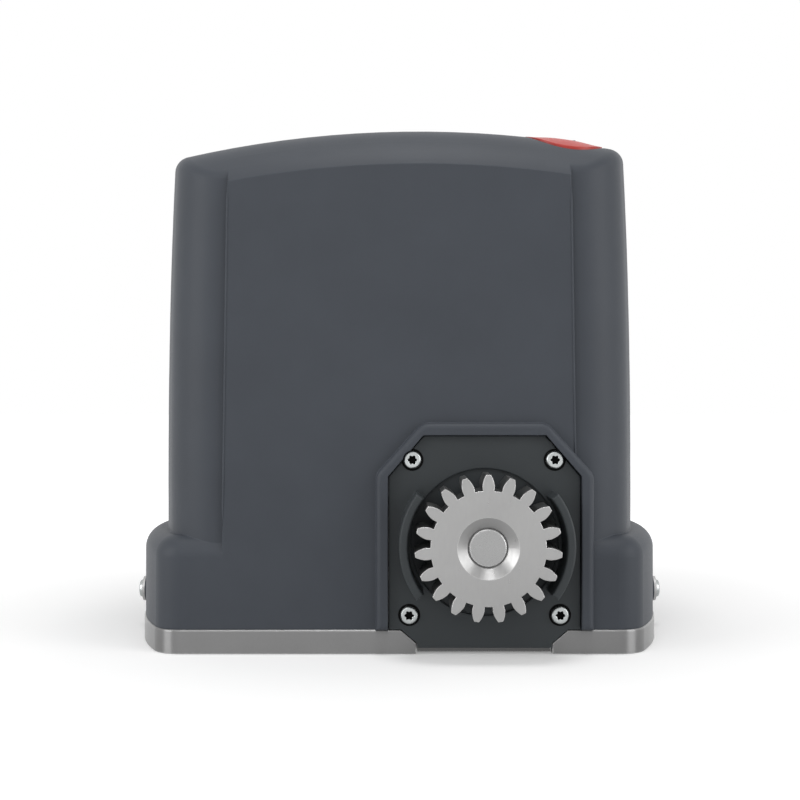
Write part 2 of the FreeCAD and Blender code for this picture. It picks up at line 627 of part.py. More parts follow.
def make_plate_screws():
    screws = []
    for i, (across, up) in enumerate(plate_screw_places()):
        screw = button_screw(f"plate screw {i}", "screw_radius", "screw_long", "screw_head_radius",
                             "screw_head_tall", "torx_radius")
        socket = hex_hole("torx_radius", "screw_head_tall", "0", "0", "screw_head_tall * 0.35")
        screws.append(place(cut(screw, [socket], "plate_screw"), across, "plate_front + screw_sink", up,
                            TO_FRONT))
    part(group(screws, "plate_screw_set"), "plate_screws")


def make_side_screws():
    screws, washers = [], []
    for name, side, turn in (("left", "-", Rotation(Vector(0, 1, 0), -90)), ("right", "", TO_RIGHT)):
        out = f"{side}(base_half_wide + side_boss_tall + washer_thick)"
        screw = button_screw(f"side screw {name}", "side_screw_radius", "side_screw_long",
                             "side_head_radius", "side_head_tall", "torx_radius")
        screws.append(place(cut(screw, [hex_hole("torx_radius", "5", "0", "0", "side_head_tall * 0.3")],
                                "side_screw"), out, "0", "side_screw_up", turn))
        ring = cylinder("washer_radius", "washer_thick", name="washer")
        hole = cylinder("side_screw_radius", "washer_thick + 2", up="-1", name="washer_hole")
        washers.append(place(cut(ring, [hole], "washer_ring"), f"{side}(base_half_wide + side_boss_tall)", "0",
                             "side_screw_up", turn))
    part(group(screws, "side_screw_set"), "cover_screws")
    part(group(washers, "washer_set"), "cover_washers")


def gear_outline(teeth, module, thin=0.0, low=1.25):
    """A wire of involute teeth round the origin of XY: each flank an arc through three involute points."""
    pitch = teeth * module / 2
    base = pitch * math.cos(math.radians(20))
    root, tip = pitch - low * module, pitch + module

    def half_angle(radius):
        """Half the tooth's angle at a radius."""
        def involute(r):
            lean = math.acos(min(1.0, base / r))
            return math.tan(lean) - lean
        return math.pi / 2 / teeth - thin / 2 / pitch + involute(pitch) - involute(max(radius, base))

    def spot(radius, angle):
        return Vector(radius * math.sin(angle), radius * math.cos(angle), 0)

    start = max(base, root)
    levels = (start, (start + tip) / 2, tip)
    edges = []
    for tooth in range(teeth):
        middle = 2 * math.pi * tooth / teeth
        after = middle + 2 * math.pi / teeth
        rising = [spot(r, middle - half_angle(r)) for r in levels]
        falling = [spot(r, middle + half_angle(r)) for r in reversed(levels)]
        foot_in, foot_out = spot(root, middle - half_angle(root)), spot(root, middle + half_angle(root))
        if root < start:
            edges.append(Part.makeLine(foot_in, rising[0]))
        edges.append(Part.Arc(*rising).toShape())
        edges.append(Part.Arc(rising[2], spot(tip, middle), falling[0]).toShape())
        edges.append(Part.Arc(*falling).toShape())
        if root < start:
            edges.append(Part.makeLine(falling[2], foot_out))
        edges.append(Part.Arc(foot_out, spot(root, middle + math.pi / teeth),
                              spot(root, after - half_angle(root))).toShape())
    return Part.Wire(edges)


def toothed(name, teeth, module, wide, turn=0.0, thin=0.0):
    """A toothed disc standing on XY, as a feature whose shape is worked out from the sheet."""
    face = Part.Face(gear_outline(int(teeth), module, thin))
    thing = doc.addObject("Part::Feature", name)
    thing.Shape = face.extrude(Vector(0, 0, wide))
    thing.Placement = Placement(Vector(), Rotation(Vector(0, 0, 1), turn))
    return thing


def make_pinion():
    """Spur pinion with a dished front face and a keyed bore."""
    blank = toothed("pinion_teeth", value("pinion_teeth"), value("pinion_module"), value("pinion_wide"))
    dish = doc.addObject("Part::Cone", "pinion_dish")
    bind(dish, Radius1="shaft_end_radius", Radius2="dish_radius", Height="dish_deep")
    place(dish, up="pinion_wide - dish_deep")
    bore = cylinder("shaft_end_radius", "pinion_wide + 2", up="-1", name="pinion_bore")
    keyway = block("key_wide", "key_deep + 3", "pinion_wide - key_blind + 1", "-key_wide / 2",
                   "shaft_end_radius - 3", "-1", "pinion_keyway")
    gear = cut(blank, [dish, bore, keyway], "pinion")
    place(gear, "gear_across", "pinion_front + pinion_wide", "gear_up", TO_FRONT)
    part(gear, "pinion")


def make_shaft():
    """Output shaft, turned: pinion seat, seal and bearing lands, wheel seat, rear land."""
    points = [("pinion_front + shaft_end_back", "0"),
              ("pinion_front + shaft_end_back", "shaft_end_radius - shaft_end_chamfer"),
              ("pinion_front + shaft_end_back + shaft_end_chamfer", "shaft_end_radius"),
              ("pinion_front + pinion_wide", "shaft_end_radius"), ("pinion_front + pinion_wide", "shaft_radius"),
              ("plate_back + bearing_wide", "shaft_radius"), ("plate_back + bearing_wide", "bearing_land"),
              ("wheel_front - 0.3", "bearing_land"), ("wheel_front - 0.3", "shaft_radius"),
              ("housing_back - 4.5", "shaft_radius"), ("housing_back - 4.5", "0")]
    blank = turned("shaft blank", "YZ", points, "H", across="gear_across", up="gear_up")
    front_seat = block("key_wide", "pinion_wide - key_blind", "key_deep", "gear_across - key_wide / 2",
                       "pinion_front + key_blind", "gear_up + shaft_end_radius - key_deep", "front_key_seat")
    rear_seat = block("key_wide", "collar_wide + throw + 2", "key_deep", "gear_across - key_wide / 2",
                      "collar_front + 0.5", "gear_up + shaft_radius - key_deep", "rear_key_seat")
    part(cut(blank, [front_seat, rear_seat], "shaft"), "output_shaft")
    front_key = block("key_wide", "pinion_wide - key_blind", "2 * key_deep - 0.2",
                      "gear_across - key_wide / 2", "pinion_front + key_blind", "gear_up + shaft_end_radius - key_deep", "front_key")
    rear_key = block("key_wide", "collar_wide + throw + 2", "2 * key_deep - 0.5",
                     "gear_across - key_wide / 2", "collar_front + 0.5", "gear_up + shaft_radius - key_deep",
                     "rear_key")
    part(group([front_key, rear_key], "key_set"), "shaft_keys")


def ring(outer, inner, wide, across, along, up, turn=None, name="ring"):
    """A plain ring whose foot is at the given place."""
    body = cylinder(outer, wide, name=name)
    hole = cylinder(inner, f"{wide} + 2", up="-1", name=name + "_bore")
    return place(cut(body, [hole], name), across, along, up, turn)


def make_bearings():
    """Closed ball bearings, each kept as one ring with the shaft running in it."""
    front = ring("bearing_radius", "shaft_radius + running_gap", "bearing_wide - 0.3", "gear_across",
                 "plate_back + bearing_wide - 0.3", "gear_up", TO_FRONT, "front_bearing")
    rear = ring("bearing_radius", "shaft_radius + running_gap", "bearing_wide", "gear_across",
                "housing_back - 4", "gear_up", TO_FRONT, "rear_bearing")
    part(group([front, rear], "output_bearing_set"), "output_bearings")
    part(ring("seal_radius", "shaft_radius + running_gap", "plate_thick - plate_well_deep - 0.5",
              "gear_across", "plate_back", "gear_up", TO_FRONT, "lip_seal"), "shaft_seal")
    upper = ring("worm_bearing_radius", "worm_shaft_radius + running_gap", "worm_bearing_wide",
                 "worm_across", "wheel_mid", "housing_top - worm_bearing_wide", name="upper_bearing")
    lower = ring("worm_low_bearing_radius", "worm_shaft_radius + running_gap", "worm_low_bearing_wide",
                 "worm_across", "wheel_mid", "worm_low", name="lower_bearing")
    part(group([upper, lower], "worm_bearing_set"), "worm_bearings")


def make_wheel():
    """Worm wheel with slots for the clutch's dogs in its rear face; a tooth gap faces the worm."""
    blank = toothed("wheel_teeth", value("wheel_teeth"), value("wheel_module"), value("wheel_wide"),
                    turn=90 + 180 / value("wheel_teeth"), thin=0.3)
    bore = cylinder("shaft_radius + running_gap", "wheel_wide + 2", up="-1", name="wheel_bore")
    slots = [turned_block(angle, "dog_wide + 2 * fit_gap", "collar_radius + fit_gap", "dog_tall + 1 + fit_gap")
             for angle in (60, 180, 300)]
    recess = ring("wheel_radius - 8", "wheel_hub_radius", "4", "0", "0", "wheel_wide - 3.5", name="wheel_recess")
    wheel = cut(blank, [bore, recess] + [place(s, up="-1", turn=s.Placement.Rotation) for s in slots], "wheel")
    place(wheel, "gear_across", "wheel_front + wheel_wide", "gear_up", TO_FRONT)
    part(wheel, "worm_wheel")


def turned_block(angle, wide, reach, tall):
    """A radial bar from the axis outwards, turned about Z."""
    bar = block(wide, reach, tall, f"-({wide}) / 2", "0", "0", "dog_bar")
    holder = joined([bar, cylinder("1", tall)], "dog_bar_turned")
    holder.Placement = Placement(Vector(), Rotation(Vector(0, 0, 1), angle))
    return holder


def make_collar():
    """Dog clutch: slides on the shaft's key, three dogs in the wheel, a groove for the fork."""
    ring_part = ring("collar_radius", "shaft_radius + running_gap", "collar_wide", "0", "0", "0", name="collar_ring")
    groove = ring("collar_radius + 1", "collar_radius - 3", "collar_groove_wide", "0", "0",
                  "(collar_wide - collar_groove_wide) / 2", name="collar_groove")
    keyway = block("key_wide + 2 * running_gap", "key_deep + 3", "collar_wide + 2",
                   "-key_wide / 2 - running_gap", "shaft_radius - 3", "-1", "collar_keyway")
    body = cut(ring_part, [groove, keyway], "collar_body")
    dogs = [turned_block(angle, "dog_wide", "collar_radius", "dog_tall") for angle in (60, 180, 300)]
    for dog in dogs:
        place(dog, up="collar_wide - 0.01", turn=dog.Placement.Rotation)
    trimmed = cut(joined(dogs, "dogs"), [cylinder("shaft_radius + running_gap + 1", "80", up="-1")], "dogs_trimmed")
    whole = joined([body, trimmed], "collar")
    place(whole, "gear_across", "collar_front + collar_wide", "gear_up", TO_FRONT)
    part(whole, "clutch_collar")


def make_housing():
    """Cast gearbox body: open at the front, a bore for the worm, seats for the bearings, a roof."""
    shell = block("housing_right - housing_left", "housing_back - housing_front", "housing_top - base_tall",
                  "housing_left", "housing_front", "base_tall", "housing_block")
    edged = doc.addObject("Part::Fillet", "housing_rounded")
    edged.Base = shell
    doc.recompute()
    upright = [i for i, e in enumerate(shell.Shape.Edges, start=1)
               if abs(e.Vertexes[0].Z - e.Vertexes[1].Z) > 1]
    edged.Edges = [(i, value("housing_round"), value("housing_round")) for i in upright]
    room = block("housing_right - housing_wall - (worm_across + 4)", "housing_back - housing_rear - housing_front + 1",
                 "housing_top - housing_roof - base_tall - housing_floor", "worm_across + 4",
                 "housing_front - 1", "base_tall + housing_floor", "housing_room")
    tools = [room,
             cylinder("worm_low_bearing_radius", "200", "worm_across", "wheel_mid", "worm_low", name="worm_bore"),
             cylinder("worm_bearing_radius", "20", "worm_across", "wheel_mid", "housing_top - worm_bearing_wide",
                      name="worm_bearing_seat"),
             cylinder("bearing_radius", "200", "gear_across", "housing_back - 4", "gear_up", TO_FRONT,
                      "rear_bearing_bore"),
             cylinder("release_rod_radius + running_gap", "40", "release_across", "release_along",
                      "housing_top - 20", name="release_rod_hole"),
             cylinder("bearing_radius + 5 + fit_gap", "bearing_wide + 2", "gear_across",
                      "housing_front + bearing_wide + 1", "gear_up", TO_FRONT, "boss_room")]
    for across, up in plate_screw_places():
        tools.append(cylinder("screw_radius", "screw_long + 4", across, "plate_front + screw_sink + screw_long + 2",
                              up, TO_FRONT, "plate_thread"))
    bosses = [cylinder("screw_radius + 4.5", "screw_long", across, "housing_front + screw_long", up, TO_FRONT,
                       "plate_screw_boss") for across, up in plate_screw_places()]
    ribs = [block("4", "8", "housing_top - base_tall - 20", f"housing_left + {step}", "housing_back",
                  "base_tall", "housing_rib") for step in ("22", "66", "110")]
    hollow = cut(edged, tools[:1], "housing_hollow")
    part(cut(joined([hollow] + ribs + bosses, "housing_form"), tools[1:], "housing"), "gearbox_housing")


def make_worm():
    """Motor shaft with a one-start worm cut on it; one crest faces the wheel at the axis' height."""
    top = "housing_top + motor_tall - 3"
    points = [("0", "worm_low"), ("worm_shaft_radius", "worm_low"),
              ("worm_shaft_radius", "worm_low + worm_low_bearing_wide + fit_gap"),
              ("worm_shaft_radius + 2", "worm_low + worm_low_bearing_wide + fit_gap"),
              ("worm_shaft_radius + 2", "worm_low + worm_low_bearing_wide + 4"),
              ("worm_core_radius", "worm_low + worm_low_bearing_wide + 8"),
              ("worm_core_radius", "housing_top - worm_bearing_wide - 10"),
              ("worm_shaft_radius + 2", "housing_top - worm_bearing_wide - 6"),
              ("worm_shaft_radius + 2", "housing_top - worm_bearing_wide - fit_gap"),
              ("worm_shaft_radius", "housing_top - worm_bearing_wide - fit_gap"),
              ("worm_shaft_radius", top), ("0", top)]
    shaft = turned("worm shaft", "XZ", points, "V", across="worm_across", along="wheel_mid")
    pitch = "(wheel_module * pi)"
    lean = "tan(20 deg)"
    deep = "(worm_pitch_radius - worm_core_radius + 0.3)"
    foot, crest = f"(worm_thread / 2 + {deep} * {lean})", f"(worm_thread / 2 - wheel_module * {lean})"
    start = f"gear_up - {pitch} * worm_turns / 2"
    profile = outline(shaft, "XZ", [("worm_core_radius - 0.3", f"-{foot}"),
                                    ("worm_pitch_radius + wheel_module", f"-{crest}"),
                                    ("worm_pitch_radius + wheel_module", crest),
                                    ("worm_core_radius - 0.3", foot)],
                      across="worm_across", along="wheel_mid", up=start)
    thread = shaft.newObject("PartDesign::AdditiveHelix", "worm_thread")
    thread.Profile = profile
    thread.ReferenceAxis = (profile, ["V_Axis"])
    thread.Mode = "pitch-height-angle"
    bind(thread, Pitch=pitch, Height=f"{pitch} * worm_turns")
    doc.recompute()
    part(shaft, "worm_shaft")


def make_release():
    """Lock and rod turned by the key, the throw pin under them, the fork that the pin shifts."""
    lean = math.sqrt(0.5)
    rod = turned("release rod body", "XZ", [
        ("0", "cam_low"), ("cam_radius", "cam_low"), ("cam_radius", "cam_low + cam_tall"),
        ("release_rod_radius", "cam_low + cam_tall"), ("release_rod_radius", "lock_low"), ("0", "lock_low")],
        "V", across="release_across", along="release_along")
    pin = cylinder("throw_pin_radius", "cam_low - fork_arm_low + 3", f"release_across - throw * {lean}",
                   f"release_along - throw * {lean}", "fork_arm_low - 2", name="throw_pin")
    part(joined([rod, pin], "release_rod_and_pin"), "release_rod")
    plug = cylinder("lock_radius", "lock_top - lock_low", "release_across", "release_along", "lock_low",
                    name="lock_plug")
    key_slot = block("1.4", "9", "12", "release_across - 0.7", "release_along - 4.5", "lock_top - 8", "key_slot")
    part(cut(plug, [key_slot], "lock"), "release_lock")
    part(ring("barrel_radius", "lock_radius + running_gap", "lock_top - lock_low - 1", "release_across",
              "release_along", "lock_low + 1", name="barrel"), "lock_barrel")
    part(cut(fork_form(), fork_holes(), "fork"), "clutch_fork")
    part(cylinder("guide_radius", "34", "gear_across + 40", "housing_back - housing_rear", "gear_up + 30",
                  TO_FRONT, "fork_guide"), "fork_guide")


def fork_form():
    """A yoke open downwards round the collar's groove, a web up to the right and an arm forwards."""
    yoke = cylinder("collar_radius + 6", "fork_thick", "0", "0", "0", name="fork_yoke")
    opening = cylinder("collar_radius - 3 + 2 * fit_gap", "fork_thick + 2", up="-1", name="fork_mouth")
    below = block("80", "40", "fork_thick + 2", "-40", "-40", "-1", "fork_open_side")
    web = padded("fork web", "XY", [("-8", "collar_radius"), ("10", "collar_radius - 2"),
                                    ("release_across - gear_across + 6", "fork_arm_low - gear_up"),
                                    ("release_across - gear_across + 6",
                                     "fork_arm_low - gear_up + fork_arm_tall"),
                                    ("release_across - gear_across - 12",
                                     "fork_arm_low - gear_up + fork_arm_tall")], "0", "fork_thick")
    plate = cut(joined([yoke, web], "fork_plate"), [opening, below], "fork_flat")
    place(plate, "gear_across", "fork_mid + fork_thick / 2", "gear_up", TO_FRONT)
    arm = block("18", "fork_mid - release_along + throw + 6", "fork_arm_tall", "release_across - 12",
                "release_along - throw - 6", "fork_arm_low", "fork_arm")
    return joined([plate, arm], "fork_form")


def fork_holes():
    half = "(throw_pin_radius + fit_gap)"
    track = block("throw + 2 * throw_pin_radius + 3", f"2 * {half}", "fork_arm_tall + 2",
                  "release_across - throw - throw_pin_radius - 1.5",
                  f"release_along - throw * sqrt(0.5) - {half}", "fork_arm_low - 1", "fork_track")
    guide = cylinder("guide_radius + running_gap", "fork_thick + 4", "gear_across + 40",
                     "fork_mid + fork_thick / 2 + 2", "gear_up + 30", TO_FRONT, "fork_guide_hole")
    return [track, guide]


def make_cap():
    """Red cap over the lock, bowed like the crown, hinged at its rear edge."""
    skin = crown_layer("cap", "cap_radius", "-cap_proud", "cap_thick - cap_proud")
    knuckle = cylinder("knuckle_radius", "knuckle_wide", "release_across - knuckle_wide / 2", HINGE_ALONG,
                       "cap_pin_up", TO_RIGHT, "cap_knuckle")
    tongue = block("knuckle_wide", "cap_pin_out + cap_thick", "cap_tongue_tall",
                   "release_across - knuckle_wide / 2", f"{HINGE_ALONG} - cap_pin_out - cap_thick",
                   "cap_pin_up - knuckle_radius", "cap_tongue")
    bore = cylinder("cap_pin_radius + running_gap", "knuckle_wide + 2", "release_across - knuckle_wide / 2 - 1",
                    HINGE_ALONG, "cap_pin_up", TO_RIGHT, "cap_bore")
    part(cut(joined([skin, knuckle, tongue], "cap_form"), [bore], "cap"), "release_cap")
    part(cap_pin("cap_hinge_pin"), "cap_pin")


def make_motor():
    """Upright brushed motor on the gearbox's roof, its shaft being the worm's."""
    low, high = "housing_top + motor_flange", "housing_top + motor_tall - motor_flange"
    here = {"across": "worm_across", "along": "wheel_mid"}
    part(ring("motor_radius", "motor_radius - motor_can", f"({high}) - ({low})", up=low, name="can", **here),
         "motor_can")
    part(ring("motor_radius", "worm_shaft_radius + running_gap", "motor_flange", up="housing_top",
              name="flange", **here), "motor_flange")
    holders = [block("holder_long", "holder_side", "holder_side", f"worm_across {at}",
                     "wheel_mid - holder_side / 2", f"{high} - holder_side", "brush_holder")
               for at in ("+ holder_in", "- holder_in - holder_long")]
    lid = cylinder("motor_radius", "motor_flange", up=high, name="motor_lid", **here)
    lid_bore = cylinder("worm_shaft_radius + running_gap", "motor_flange - 2 * lid_gap", up=f"{high} - lid_gap",
                        name="lid_bore", **here)
    brush_up = f"{high} - (holder_side + brush_side) / 2"
    channels = [block("holder_long + 2", "brush_side", "brush_side", f"worm_across {at}",
                      "wheel_mid - brush_side / 2", brush_up, "brush_channel")
                for at in ("+ holder_in - 1", "- holder_in - holder_long - 1")]
    beside = "(motor_radius - motor_can - bolt_inset)"
    bolt_holes = [cylinder("bolt_radius", "motor_tall + 20", "worm_across", f"wheel_mid {sign} {beside}",
                           "housing_top + 1", name="bolt_hole") for sign in ("+", "-")]
    part(cut(joined([lid] + holders, "lid_form"), [lid_bore] + channels + bolt_holes, "lid"), "motor_end_cap")
    part(group([block("brush_long", "brush_side", "brush_side", f"worm_across {at}", "wheel_mid - brush_side / 2",
                      brush_up, "brush")
                for at in ("+ commutator_radius + brush_gap", "- commutator_radius - brush_gap - brush_long")],
               "brush_pair"), "motor_brushes")
    part(group([cylinder("bolt_radius", "motor_tall + 2 - motor_flange", "worm_across",
                         f"wheel_mid {sign} {beside}", low, name="through_bolt")
                for sign in ("+", "-")], "bolt_pair"), "motor_bolts")
    magnet = ring("motor_radius - motor_can", "armature_radius + air_gap", "armature_tall + magnet_over",
                  up=f"{low} + magnet_low", name="magnet_ring", **here)
    gaps = block("magnet_gap", "2 * motor_radius", "2 * motor_tall", "worm_across - magnet_gap / 2",
                 "wheel_mid - motor_radius", low, "magnet_gaps")
    part(cut(magnet, [gaps], "magnets"), "motor_magnets")
    foot = f"{low} + winding_low + winding_tall"
    core = ring("armature_radius", "worm_shaft_radius", "armature_tall", up=foot, name="core", **here)
    slots = []
    for i in range(12):
        angle = math.radians(30 * i + 15)
        slots.append(cylinder("slot_radius", "2 * motor_tall",
                              f"worm_across + (armature_radius - slot_sink) * {math.cos(angle):.6f}",
                              f"wheel_mid + (armature_radius - slot_sink) * {math.sin(angle):.6f}", low,
                              name="core_slot"))
    part(cut(core, slots, "armature"), "armature_core")
    part(group([ring("armature_radius - winding_step", "worm_shaft_radius", "winding_tall", up=up, name="winding",
                     **here) for up in (f"{low} + winding_low", f"{foot} + armature_tall")], "winding_pair"),
         "armature_windings")
    part(ring("commutator_radius", "worm_shaft_radius", "commutator_tall",
              up=f"{high} - commutator_tall - lid_gap", name="commutator_ring", **here), "commutator")


def make_controls():
    """Sheet bracket with the control board in front, transformer behind, sensor over the gear bay."""
    left = "board_across - board_wide / 2 - 4"
    sheet = block("board_wide + 8", "bracket_thick", "board_low + board_tall - base_floor + 4", left,
                  "bracket_along", "base_floor", "bracket_sheet")
    foot = block("board_wide + 8", "14", "bracket_thick", left, "bracket_along", "base_floor", "bracket_foot")
    window = block("board_wide - 24", "10", "60", "board_across - board_wide / 2 + 12", "bracket_along - 4",
                   "board_low - 70", "bracket_window")
    part(cut(joined([sheet, foot], "bracket_form"), [window], "bracket"), "board_bracket")
    posts = [cylinder("post_radius", "post_long", f"board_across + {a}", "bracket_along",
                      f"board_low + board_tall / 2 + {b}", TO_FRONT, "board_post")
             for a, b in corners("board_wide / 2 - post_inset", "board_tall / 2 - post_inset")]
    part(group(posts, "post_set"), "board_posts")
    face = "bracket_along - post_long - board_thick"
    part(block("board_wide", "board_thick", "board_tall", "board_across - board_wide / 2", face, "board_low",
               "board"), "control_board")
    terminals = [block("22", "12", "10", f"board_across - board_wide / 2 + {at}", f"{face} - 12",
                       "board_low + 3", "terminal") for at in ("6", "30", "54")]
    part(group(terminals, "terminal_set"), "board_terminals")
    relays = [block("15", "16", "19", f"board_across - board_wide / 2 + {at}", f"{face} - 16",
                    "board_low + 26", "relay") for at in ("8", "28")]
    stores = [cylinder("6", "18", f"board_across + {at}", face, "board_low + 36", TO_FRONT, "store")
              for at in ("14", "30")]
    chip = block("20", "3", "20", "board_across - 10", f"{face} - 3", "board_low + 70", "chip")
    part(group(relays + stores + [chip], "component_set"), "board_components")
    base = "base_floor"
    core = block("transformer_wide", "transformer_deep", "transformer_tall",
                 "transformer_across - transformer_wide / 2", "transformer_along - transformer_deep / 2", base,
                 "core_block")
    windows = [block("transformer_wide / 2 - core_bar - core_leg / 2", "80", "transformer_tall - 2 * core_bar",
                     f"transformer_across {at}", "transformer_along - 40", f"{base} + core_bar", "core_window")
               for at in ("+ core_leg / 2", "- transformer_wide / 2 + core_bar")]
    part(cut(core, windows, "core"), "transformer_core")
    coil = block("transformer_wide - 2 * core_bar - 1", "coil_deep", "transformer_tall - 2 * core_bar - 1",
                 "transformer_across - transformer_wide / 2 + core_bar + 0.5",
                 "transformer_along - coil_deep / 2", f"{base} + core_bar + 0.5", "coil_block")
    leg = block("core_leg", "transformer_deep", "transformer_tall", "transformer_across - core_leg / 2",
                "transformer_along - transformer_deep / 2", base, "coil_core")
    part(cut(coil, [leg], "coil"), "transformer_coil")
    part(block("30", "10", "14", "gear_across - 15", "housing_front", "housing_top", "sensor"), "limit_sensor")
    collar = ring("cable_hole_radius + 3", "grommet_bore", "3", "0", "0", "base_tall", name="grommet_collar")
    neck = ring("cable_hole_radius", "grommet_bore", "base_tall", "0", "0", "0", name="grommet_neck")
    grommet = joined([collar, neck], "grommet")
    part(place(grommet, "cable_hole_across", "cable_hole_along"), "cable_grommet")


def finish():
    """Checks every object, then writes each piece to parts/."""
    doc.recompute()
    for thing in doc.Objects:
        if "Invalid" in thing.State or "Error" in thing.State:
            raise RuntimeError(f"{thing.Label} is {thing.State}")
    os.makedirs("parts", exist_ok=True)
    for thing in PARTS:
        if thing.Shape.isNull() or not thing.Shape.isValid():
            raise RuntimeError(f"{thing.Label} has no valid shape")
        thing.Shape.exportStep(f"parts/{thing.Label}.step")


make_base()
make_levellers()
make_cover()
make_seal()
make_front_plate()
make_plate_screws()
make_side_screws()
make_pinion()
make_shaft()
make_bearings()
make_wheel()
make_collar()
make_housing()
make_worm()
make_release()
make_cap()
make_motor()
make_controls()
finish()
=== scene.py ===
import math
import bmesh
import bpy
from mathutils import Matrix, Vector
from mathutils.bvhtree import BVHTree


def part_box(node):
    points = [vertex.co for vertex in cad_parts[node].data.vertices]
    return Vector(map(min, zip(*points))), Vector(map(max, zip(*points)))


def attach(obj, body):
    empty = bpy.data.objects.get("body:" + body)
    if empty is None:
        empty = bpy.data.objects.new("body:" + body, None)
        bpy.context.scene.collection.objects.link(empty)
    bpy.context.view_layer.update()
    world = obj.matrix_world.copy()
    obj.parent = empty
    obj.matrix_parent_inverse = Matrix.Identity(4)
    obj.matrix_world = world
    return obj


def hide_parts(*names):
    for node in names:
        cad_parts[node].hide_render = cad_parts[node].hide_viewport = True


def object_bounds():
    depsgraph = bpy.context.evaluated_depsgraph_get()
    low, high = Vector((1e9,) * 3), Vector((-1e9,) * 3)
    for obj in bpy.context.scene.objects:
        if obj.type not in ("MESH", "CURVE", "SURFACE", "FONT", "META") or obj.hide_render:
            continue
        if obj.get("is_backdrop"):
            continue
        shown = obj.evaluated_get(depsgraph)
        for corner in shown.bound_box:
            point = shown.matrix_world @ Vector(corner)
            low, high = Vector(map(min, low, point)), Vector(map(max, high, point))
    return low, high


# Looks of a sliding gate motor on a white studio floor. Metres, +Z up, the drive gear faces -Y.

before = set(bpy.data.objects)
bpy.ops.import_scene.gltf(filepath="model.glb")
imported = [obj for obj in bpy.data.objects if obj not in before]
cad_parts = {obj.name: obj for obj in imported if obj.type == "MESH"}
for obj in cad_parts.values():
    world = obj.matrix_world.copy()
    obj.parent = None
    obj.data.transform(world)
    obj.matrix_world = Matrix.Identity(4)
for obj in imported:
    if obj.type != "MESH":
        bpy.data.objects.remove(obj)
cad_low, cad_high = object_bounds()
scene = bpy.context.scene
scene.view_settings.view_transform = "Standard"

ROUND_STEPS = 72          # sides of a turned piece
SMOOTH_UNDER = 35         # degrees: softer edges than this are shaded smooth
MOTTLE_GRAIN = 25.0       # how fine the broad colour mottling is

# front plate's screws: head height, shank radius, how far the head reaches past the solid's
PLATE_HEAD_TALL, PLATE_SHANK, PLATE_HEAD_OVER = 0.0032, 0.003, 0.0003
# side screws: head height and shank radius
SIDE_HEAD_TALL, SIDE_SHANK = 0.0026, 0.0025
# flat ring painted dark as the shadow round a plate screw's sink: inner and outer reach past the head, and
# height
SHADE_RING_INNER, SHADE_RING_OUTER, SHADE_RING_TALL = 0.00035, 0.0013, 0.00015
# where the plate's face is sounded: how far beside the head, from which place in front, and the height that
# parts the upper screws from the lower ones
SHADE_RING_PROBE, PROBE_FROM, SCREWS_PARTED = 0.0012, -0.2, 0.06

# beads up the edges of the flat front panel, which narrows towards the crown
BEAD_STEPS, BEAD_SIDES, BEAD_RADIUS, BEAD_SINK = 60, 6, 0.0007, 0.0002
BEAD_FOOT, BEAD_HEAD, PANEL_FACE = 0.0720, 0.2870, -0.0960
PANEL_HALF, PANEL_NARROWS, PANEL_FOOT, PANEL_TALL = 0.1065, 0.0045, 0.0145, 0.3177

# red cap: how far its face sinks to the rim, from which share of the radius, and its mesh size
CAP_FADE, CAP_FADE_FROM, CAP_MESH = 0.00125, 0.25, 0.0025
CAP_PROBE, CAP_SKIN = 0.0004, 0.00012

# studio: floor's half width and its gap under the part, its glow between two distances (strong far off to
# keep the floor white, weaker near the part so the floor round it is painted darker as shadow), the world's
# light
FLOOR_REACH, FLOOR_GAP = 12, 0.0002
GLOW_NEAR, GLOW_FAR, GLOW_FROM, GLOW_TO, WORLD_LIGHT = 0.23, 0.80, 0.15, 0.8, 0.38
# camera, and lamps as (name, place, aim, width, height, watts)
EYE, LENS, SENSOR = (0.00035, -0.846, 0.1516), 56.52, 36
LAMPS = (
    ("key", (-0.4, -1.8, 1.3), (0, 0, 0.15), 1.4, 1.4, 7.0),
    ("top_front", (0.05, -0.35, 1.7), (0, 0, 0.15), 0.6, 0.6, 8.2),
    ("left_strip", (-1.30, -0.80, 0.36), (0, 0, 0.18), 0.75, 1.4, 11),
    ("right_strip", (1.32, -0.78, 0.36), (0, 0, 0.18), 0.80, 1.4, 11),
)


# ---------------------------------------------------------------- materials
def linked(tree, kind, **values):
    """A node with some of its sockets and settings filled in."""
    node = tree.nodes.new(kind)
    for name, value in values.items():
        if name in node.inputs:
            node.inputs[name].default_value = value
        else:
            setattr(node, name, value)
    return node


def ramped(tree, source, low, high, from_low=0.3, from_high=0.7):
    """A grey value spread between two numbers."""
    spread = linked(tree, "ShaderNodeMapRange")
    spread.inputs["From Min"].default_value = from_low
    spread.inputs["From Max"].default_value = from_high
    spread.inputs["To Min"].default_value = low
    spread.inputs["To Max"].default_value = high
    tree.links.new(source, spread.inputs["Value"])
    return spread.outputs["Result"]


